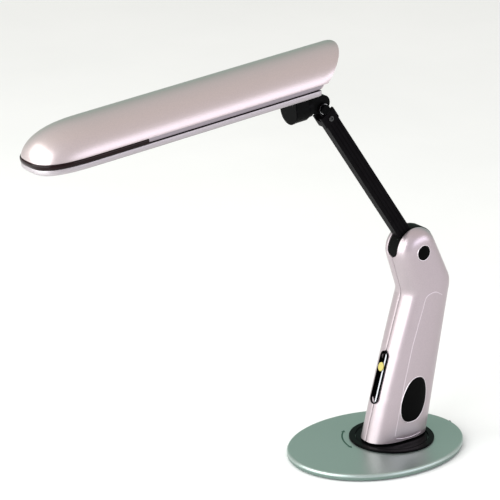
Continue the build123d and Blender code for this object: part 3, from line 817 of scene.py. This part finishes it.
def base_wall():
    """The upright rim under the base's rounded edge, in darker paint as painted shade."""
    profile = [(-0.2, 5.75), (-0.1, 4.6), (0.1, 2.4), (0.4, 1.8), (0.9, 1.5), (2.6, 1.5), (2.6, 5.75)]
    points, faces = loft([oval(inset, z) for inset, z in profile], close=True)
    return make_piece("base_wall", points, faces, LAMP, "base", BASE_WALL_SHADE_PAINT)


def foot_plinth():
    """The black step between the turntable and the stand's shells."""
    def ring(shrink, z):
        loop = []
        for k in range(120):
            a = 2 * math.pi * k / 120
            x = PLINTH_X + (PLINTH_HALF_LENGTH - shrink) * signed_power(math.cos(a), 2 / FOOT_POWER)
            y = (FOOT_HALF - shrink) * signed_power(math.sin(a), 2 / FOOT_POWER)
            loop.append((x, y, z))
        return loop

    profile = [(2.6, 11.0), (2.5, 11.4), (2.5, 12.8), (2.8, 13.5), (5.0, 13.6), (5.0, 11.0)]
    points, faces = loft([ring(shrink, z) for shrink, z in profile], close=True)
    return make_piece("foot_plinth", points, faces, LAMP, "stand", BLACK_GLOSS)


def slide_matrix():
    """Millimetres along the dimmer's slide, across it and out from the leg, to metres."""
    across = Vector((0, 1, 0))
    turn = Matrix((SLIDE_AXIS, across, SLIDE_AXIS.cross(across))).transposed().to_4x4()
    return Matrix.Scale(MM, 4) @ Matrix.Translation((FRONT_MID[0], 0, FRONT_MID[1])) @ turn


def dimmer_strip():
    """The pale glossy strip let in beside the slide, round-ended like the slot."""
    reach, outer, inner = 27.2, 4.75, 2.5

    def outline(shrink):
        loop = []
        r = outer - shrink
        start = math.degrees(math.acos(inner / r))
        loop += [(reach + x, y) for x, y in arc((0, 0), r, 90 - start, 90, 12)]
        loop += [(-reach + x, y) for x, y in arc((0, 0), r, 90, 90 + start, 12)]
        low = inner + shrink
        left, right = loop[-1][0] + shrink, loop[0][0] - shrink
        loop += [(left + (right - left) * k / 30, low) for k in range(31)]
        return [(x, -y) for x, y in loop]

    levels = [(0.0, -2.4), (0.0, 0.75), (0.12, 0.98), (0.35, 1.1), (0.8, 1.12)]
    loops = [[(x, y, z) for x, y in outline(shrink)] for shrink, z in levels]
    points, faces = loft(loops)
    return make_piece("dimmer_strip_skin", points, faces, slide_matrix(), "stand", STRIP_PALE,
                      ["dimmer_strip"])


def turning_arrow():
    """The printed double-headed arrow that shows that the stand turns."""
    radius, start, end = 57.6, 131.0, 175.0
    half_line, half_head, tip, barb = 1.0, 2.9, 5.0, 1.6
    bottom, top = BASE_TOP - 0.08, BASE_TOP + 0.08

    def spot(r, degrees):
        return r * math.cos(math.radians(degrees)), r * math.sin(math.radians(degrees))

    def head(end_angle, sign):
        return [spot(radius + sign * half_head, end_angle - sign * barb),
                spot(radius, end_angle + sign * tip),
                spot(radius - sign * half_head, end_angle - sign * barb)]

    turns = [start + (end - start) * k / 20 for k in range(21)]
    outline = [spot(radius + half_line, turn) for turn in turns] + head(end, 1)
    outline += [spot(radius - half_line, turn) for turn in reversed(turns)] + head(start, -1)
    points, faces = loft([[(x, y, z) for x, y in outline] for z in (bottom, top)])
    return make_piece("turning_arrow", points, faces, LAMP, "base", PRINT_GREEN)


# ---------------------------------------------------------------- carried-over CAD nodes

NODE_MATERIALS = {
    "bottom_plate": BLACK_SATIN, "base_weight": CAST, "base_mat": BLACK_RUBBER, "base_screws": ZINC,
    "cord_gland": BLACK_RUBBER, "swivel_collar": BLACK_GLOSS, "swivel_bush": NYLON,
    "housing_screws": ZINC, "turntable": BLACK_GLOSS, "swivel_spindle": STEEL, "swivel_washer": STEEL,
    "swivel_nut": ZINC, "pivot_bolt": STEEL,
    "pivot_nut": ZINC, "arm_washers": NYLON, "dimmer_bezel": BLACK_GLOSS,
    "dimmer_track": STEEL, "dimmer_knob": KNOB_YELLOW, "ballast_board": BOARD,
    "ballast_transformer": CORE, "ballast_capacitors": SLEEVE, "heat_sink": RAW_ALUMINIUM,
    "arm_hub": BLACK_SATIN, "arm_bar": ARM_BLACK, "arm_fork": ARM_BLACK, "fork_screw": DARK_SCREW,
    "tilt_bolt": STEEL, "tilt_washer": STEEL, "tilt_knob": BLACK_GLOSS, "tilt_knuckle": BLACK_SATIN,
    "roll_ring": BLACK_GLOSS, "roll_screw": ZINC, "head_bracket": BLACK_SATIN,
    "bracket_cap": BLACK_GLOSS, "bracket_screws": ZINC, "head_screws": ZINC,
    "light_cover": CLEAR_COVER, "reflector": MIRROR_SHEET, "lamp_tubes": LAMP_GLASS,
    "lamp_base": WHITE_PLASTIC, "lamp_holder": WHITE_PLASTIC, "lamp_clip": STEEL,
}


def dress_cad_nodes():
    for name, material in NODE_MATERIALS.items():
        node = frame["nodes"][name]
        node.data.materials.clear()
        node.data.materials.append(material)


# ---------------------------------------------------------------- floor, light and camera

def add_floor():
    """A plain pale floor."""
    material = new_material("floor_pale", (0.86, 0.86, 0.86), 0.7)
    mottle(material, 3.0, (0.87, 0.87, 0.87), (0.85, 0.85, 0.85), 0.65, 0.75)
    mesh = bpy.data.meshes.new("floor")
    size = 12.0
    corners = [(-size, -size, 0), (size, -size, 0), (size, size, 0), (-size, size, 0)]
    mesh.from_pydata(corners, [], [(0, 1, 2, 3)])
    mesh.materials.append(material)
    floor = bpy.data.objects.new("floor", mesh)
    bpy.context.scene.collection.objects.link(floor)


def add_light(name, place, target, size, power, colour):
    """A soft box that lights the lamp and isn't seen itself."""
    light = bpy.data.lights.new(name, "AREA")
    light.shape = "RECTANGLE"
    light.size, light.size_y = size
    light.energy = power
    light.color = colour
    lamp = bpy.data.objects.new(name, light)
    lamp.location = place
    lamp.rotation_euler = (Vector(target) - Vector(place)).to_track_quat("-Z", "Y").to_euler()
    lamp.visible_camera = False
    bpy.context.scene.collection.objects.link(lamp)


def add_lights():
    """Two low soft boxes, for the long highlights."""
    add_light("side_box", place=(1.25, -2.15, 0.86), target=(-0.2, 0.0, 0.3), size=(2.6, 0.9),
              power=19.5, colour=(0.82, 0.86, 1.0))
    add_light("front_box", place=(-1.5, 0.0, 0.88), target=(0.0, 0.0, 0.5), size=(2.4, 1.65),
              power=46.0, colour=(0.94, 1.0, 0.98))


TOWARDS_BACK = (0.62, 0.785, 0.0)
ROOM_SHADES = [(0.0, (0.95, 0.93, 1.0)), (0.5, (1.0, 0.95, 0.88)), (0.78, (0.86, 0.87, 0.84)),
               (1.0, (0.28, 0.48, 0.39))]


def add_room():
    """Surroundings that are warm overhead and green behind the lamp."""
    world = bpy.data.worlds.new("studio")
    world.use_nodes = True
    tree = world.node_tree
    place = tree.nodes.new("ShaderNodeTexCoord")
    along = tree.nodes.new("ShaderNodeVectorMath")
    along.operation = "DOT_PRODUCT"
    along.inputs[1].default_value = TOWARDS_BACK
    spread = tree.nodes.new("ShaderNodeMapRange")
    spread.inputs["From Min"].default_value = -1.0
    ramp = tree.nodes.new("ShaderNodeValToRGB")
    for _ in ROOM_SHADES[2:]:
        ramp.color_ramp.elements.new(0.5)
    for element, (position, colour) in zip(ramp.color_ramp.elements, ROOM_SHADES):
        element.position = position
        element.color = (*colour, 1)
    background = tree.nodes["Background"]
    background.inputs["Strength"].default_value = 1.0
    tree.links.new(place.outputs["Generated"], along.inputs[0])
    tree.links.new(along.outputs["Value"], spread.inputs["Value"])
    tree.links.new(spread.outputs["Result"], ramp.inputs["Fac"])
    tree.links.new(ramp.outputs["Color"], background.inputs["Color"])
    bpy.context.scene.world = world


def add_camera():
    """A long lens from the front left, a little above the lamp."""
    azimuth, elevation = math.radians(-35.2), math.radians(19.5)
    target, distance = Vector((-0.2017, 0.0, 0.2806)), 2.944
    away = Vector((math.sin(azimuth) * math.cos(elevation), -math.cos(azimuth) * math.cos(elevation),
                   math.sin(elevation)))
    camera = bpy.data.cameras.new("camera")
    camera.sensor_width = 36.0
    camera.lens = 194.4
    camera.clip_end = 100.0
    view = bpy.data.objects.new("camera", camera)
    view.location = target + away * distance
    view.rotation_euler = away.to_track_quat("Z", "Y").to_euler()
    bpy.context.scene.collection.objects.link(view)
    bpy.context.scene.camera = view


def main():
    add_camera()
    add_lights()
    add_room()
    add_floor()
    dress_cad_nodes()
    upper_shell()
    back_wall()
    skirt()
    parting_groove_shade()
    lower_tray()
    nose_band()
    housing_half("housing_left_skin", -1, "housing_left")
    housing_half("housing_right_skin", 1, "housing_right")
    stand_details()
    foot_plinth()
    dimmer_strip()
    base_wall()
    base_cover()
    turning_arrow()
    bpy.context.scene.view_settings.view_transform = "Standard"


main()
